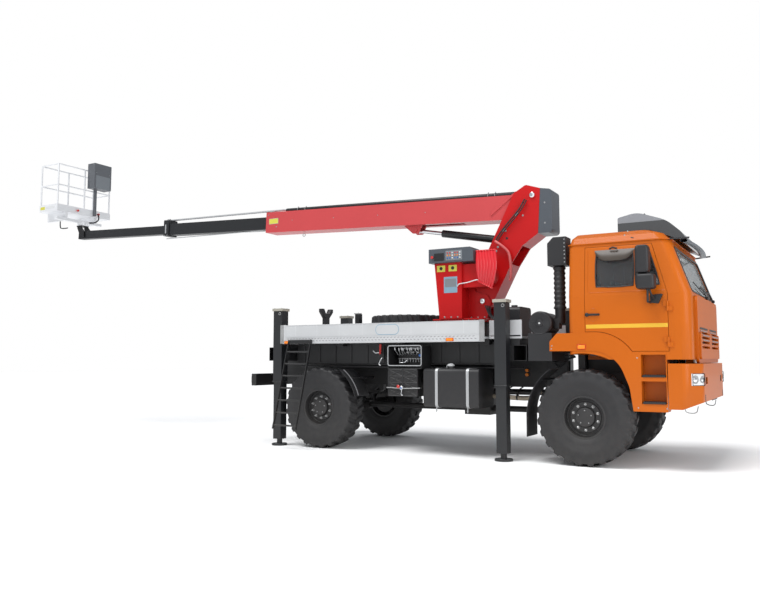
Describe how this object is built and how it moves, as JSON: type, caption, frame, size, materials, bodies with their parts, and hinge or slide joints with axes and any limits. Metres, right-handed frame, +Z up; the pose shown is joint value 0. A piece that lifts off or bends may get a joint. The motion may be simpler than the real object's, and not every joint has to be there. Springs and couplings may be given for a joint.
{
  "type": "cherry picker truck",
  "caption": "Off-road cab-over truck with a slewing, telescopic access boom and rail-sided work basket, standing on its outriggers.",
  "frame": {"origin": "middle of the whole box on the ground", "axes": "+X towards the cab's front, +Y to the vehicle's left, +Z up"},
  "size_m": [13.44, 3.1774, 5.77],
  "materials": {
    "frame_black": "satin",
    "cab_orange": "gloss",
    "fairing_black": "matte",
    "glass": "clear",
    "cab_trim": "matte",
    "lamp": "gloss",
    "tank_grey": "satin",
    "ladder_metal": "satin",
    "deck_grey": "satin",
    "boom_red": "gloss",
    "boom_black": "satin",
    "cover_grey": "satin",
    "rod_chrome": "polished",
    "tyre": "matte",
    "rim_grey": "satin",
    "stabiliser_black": "satin",
    "leg_metal": "satin"
  },
  "bodies": {
    "chassis": {"chassis_frame": "frame_black", "subframe": "frame_black", "deck": "deck_grey", "front_axle": "frame_black", "rear_axle": "frame_black", "engine_and_driveline": "frame_black", "fuel_tank": "tank_grey", "valve_box": "frame_black", "ladder": "ladder_metal", "mudguards": "frame_black", "air_intake": "frame_black", "cab_shell": "cab_orange", "cab_roof": "cab_orange", "cab_front": "cab_orange", "cab_interior": "cab_trim", "sun_visor": "fairing_black", "windscreen": "glass", "bumper": "cab_orange", "lamps": "lamp", "wheel_arches": "cab_orange", "spare_wheel": "tyre"},
    "turret": {"turret": "boom_red", "turret_console": "cover_grey"},
    "lower_boom": {"lower_boom": "boom_red", "boom_head_cover": "cover_grey"},
    "upper_boom": {"upper_boom": "boom_red", "boom_hose_tube": "boom_black"},
    "boom_section_2": {"boom_section_2": "boom_black"},
    "boom_section_3": {"boom_section_3": "boom_black"},
    "basket_mount": {"basket_mount": "boom_black"},
    "basket": {"basket": "ladder_metal", "basket_control_box": "cover_grey"},
    "ram_barrel": {"ram_barrel": "boom_black"},
    "ram_rod": {"ram_rod": "rod_chrome"},
    "knuckle_left": {"knuckle_left": "frame_black"},
    "door_left": {"door_left": "cab_orange", "door_glass_left": "glass", "mirror_left": "fairing_black"},
    "wheel_front_left": {"tyre_front_left": "tyre", "rim_front_left": "rim_grey"},
    "stabiliser_beam_front_left": {"stabiliser_beam_front_left": "stabiliser_black"},
    "stabiliser_leg_front_left": {"stabiliser_leg_front_left": "leg_metal"},
    "wheel_rear_left": {"tyre_rear_left": "tyre", "rim_rear_left": "rim_grey"},
    "stabiliser_beam_rear_left": {"stabiliser_beam_rear_left": "stabiliser_black"},
    "stabiliser_leg_rear_left": {"stabiliser_leg_rear_left": "leg_metal"},
    "knuckle_right": {"knuckle_right": "frame_black"},
    "door_right": {"door_right": "cab_orange", "door_glass_right": "glass", "mirror_right": "fairing_black"},
    "wheel_front_right": {"tyre_front_right": "tyre", "rim_front_right": "rim_grey"},
    "stabiliser_beam_front_right": {"stabiliser_beam_front_right": "stabiliser_black"},
    "stabiliser_leg_front_right": {"stabiliser_leg_front_right": "leg_metal"},
    "wheel_rear_right": {"tyre_rear_right": "tyre", "rim_rear_right": "rim_grey"},
    "stabiliser_beam_rear_right": {"stabiliser_beam_rear_right": "stabiliser_black"},
    "stabiliser_leg_rear_right": {"stabiliser_leg_rear_right": "leg_metal"}
  },
  "joints": [
    {"name": "steer_left", "type": "hinge", "parent": "chassis", "child": "knuckle_left", "pos_m": [5.28, 0.936, 0.63], "axis": [0, 0, 1], "range_deg": [-28, 28]},
    {"name": "roll_front_left", "type": "hinge", "parent": "knuckle_left", "child": "wheel_front_left", "pos_m": [5.28, 1.121, 0.63], "axis": [0, 1, 0], "continuous": true},
    {"name": "roll_rear_left", "type": "hinge", "parent": "chassis", "child": "wheel_rear_left", "pos_m": [1.1, 1.121, 0.63], "axis": [0, 1, 0], "continuous": true},
    {"name": "door_left", "type": "hinge", "parent": "chassis", "child": "door_left", "pos_m": [6.3625, 1.3555, 2], "axis": [0, 0, -1], "range_deg": [0, 70]},
    {"name": "beam_front_left", "type": "slide", "parent": "chassis", "child": "stabiliser_beam_front_left", "axis": [0, 1, 0], "range_m": [0, 0.9]},
    {"name": "leg_front_left", "type": "slide", "parent": "stabiliser_beam_front_left", "child": "stabiliser_leg_front_left", "axis": [0, 0, -1], "range_m": [-0.5, 0.2]},
    {"name": "beam_rear_left", "type": "slide", "parent": "chassis", "child": "stabiliser_beam_rear_left", "axis": [0, 1, 0], "range_m": [0, 0.9]},
    {"name": "leg_rear_left", "type": "slide", "parent": "stabiliser_beam_rear_left", "child": "stabiliser_leg_rear_left", "axis": [0, 0, -1], "range_m": [-0.5, 0.2]},
    {"name": "steer_right", "type": "hinge", "parent": "chassis", "child": "knuckle_right", "pos_m": [5.28, -0.744, 0.63], "axis": [0, 0, 1], "range_deg": [-28, 28]},
    {"name": "roll_front_right", "type": "hinge", "parent": "knuckle_right", "child": "wheel_front_right", "pos_m": [5.28, -0.929, 0.63], "axis": [0, 1, 0], "continuous": true},
    {"name": "roll_rear_right", "type": "hinge", "parent": "chassis", "child": "wheel_rear_right", "pos_m": [1.1, -0.929, 0.63], "axis": [0, 1, 0], "continuous": true},
    {"name": "door_right", "type": "hinge", "parent": "chassis", "child": "door_right", "pos_m": [6.3625, -1.1635, 2], "axis": [0, 0, 1], "range_deg": [0, 70]},
    {"name": "beam_front_right", "type": "slide", "parent": "chassis", "child": "stabiliser_beam_front_right", "axis": [0, -1, 0], "range_m": [0, 0.9]},
    {"name": "leg_front_right", "type": "slide", "parent": "stabiliser_beam_front_right", "child": "stabiliser_leg_front_right", "axis": [0, 0, -1], "range_m": [-0.5, 0.2]},
    {"name": "beam_rear_right", "type": "slide", "parent": "chassis", "child": "stabiliser_beam_rear_right", "axis": [0, -1, 0], "range_m": [0, 0.9]},
    {"name": "leg_rear_right", "type": "slide", "parent": "stabiliser_beam_rear_right", "child": "stabiliser_leg_rear_right", "axis": [0, 0, -1], "range_m": [-0.5, 0.2]},
    {"name": "slew", "type": "hinge", "parent": "chassis", "child": "turret", "pos_m": [3.15, 0.096, 1.95], "axis": [0, 0, 1], "continuous": true},
    {"name": "lower_boom_lift", "type": "hinge", "parent": "turret", "child": "lower_boom", "pos_m": [3.49, 0.096, 2.26], "axis": [0, -1, 0], "range_deg": [-12, 22]},
    {"name": "upper_boom_lift", "type": "hinge", "parent": "lower_boom", "child": "upper_boom", "pos_m": [4.3105, 0.096, 3.8497], "axis": [0, 1, 0], "range_deg": [-18, 45]},
    {"name": "boom_extend", "type": "slide", "parent": "upper_boom", "child": "boom_section_2", "axis": [-0.9991, 0, 0.0419], "range_m": [-2.4, 1.9]},
    {"name": "boom_extend_tip", "type": "slide", "parent": "boom_section_2", "child": "boom_section_3", "axis": [-0.9991, 0, 0.0419], "range_m": [-2.4, 1.9]},
    {"name": "basket_level", "type": "hinge", "parent": "boom_section_3", "child": "basket_mount", "pos_m": [-6.0469, 0.096, 4.1287], "axis": [0, 1, 0], "range_deg": [-45, 18]},
    {"name": "basket_turn", "type": "hinge", "parent": "basket_mount", "child": "basket", "pos_m": [-6.1669, 0.096, 4.3987], "axis": [0, 0, 1], "range_deg": [-90, 90]},
    {"name": "ram_tilt", "type": "hinge", "parent": "lower_boom", "child": "ram_barrel", "pos_m": [3.8993, 0.096, 3.2101], "axis": [0, 1, 0], "range_deg": [-19.2, 47.8]},
    {"name": "ram_stroke", "type": "slide", "parent": "ram_barrel", "child": "ram_rod", "axis": [-0.9832, 0, 0.1823], "range_m": [-0.225, 0.552]}
  ],
  "couplings": [
    {"joint": "steer_right", "follows": "steer_left", "ratio": 1},
    {"joint": "boom_extend_tip", "follows": "boom_extend", "ratio": 1},
    {"joint": "basket_level", "follows": "upper_boom_lift", "ratio": -1},
    {"joint": "ram_tilt", "follows": "upper_boom_lift", "ratio": 1.06},
    {"joint": "ram_stroke", "follows": "upper_boom_lift", "m_per_rad": 0.7}
  ]
}
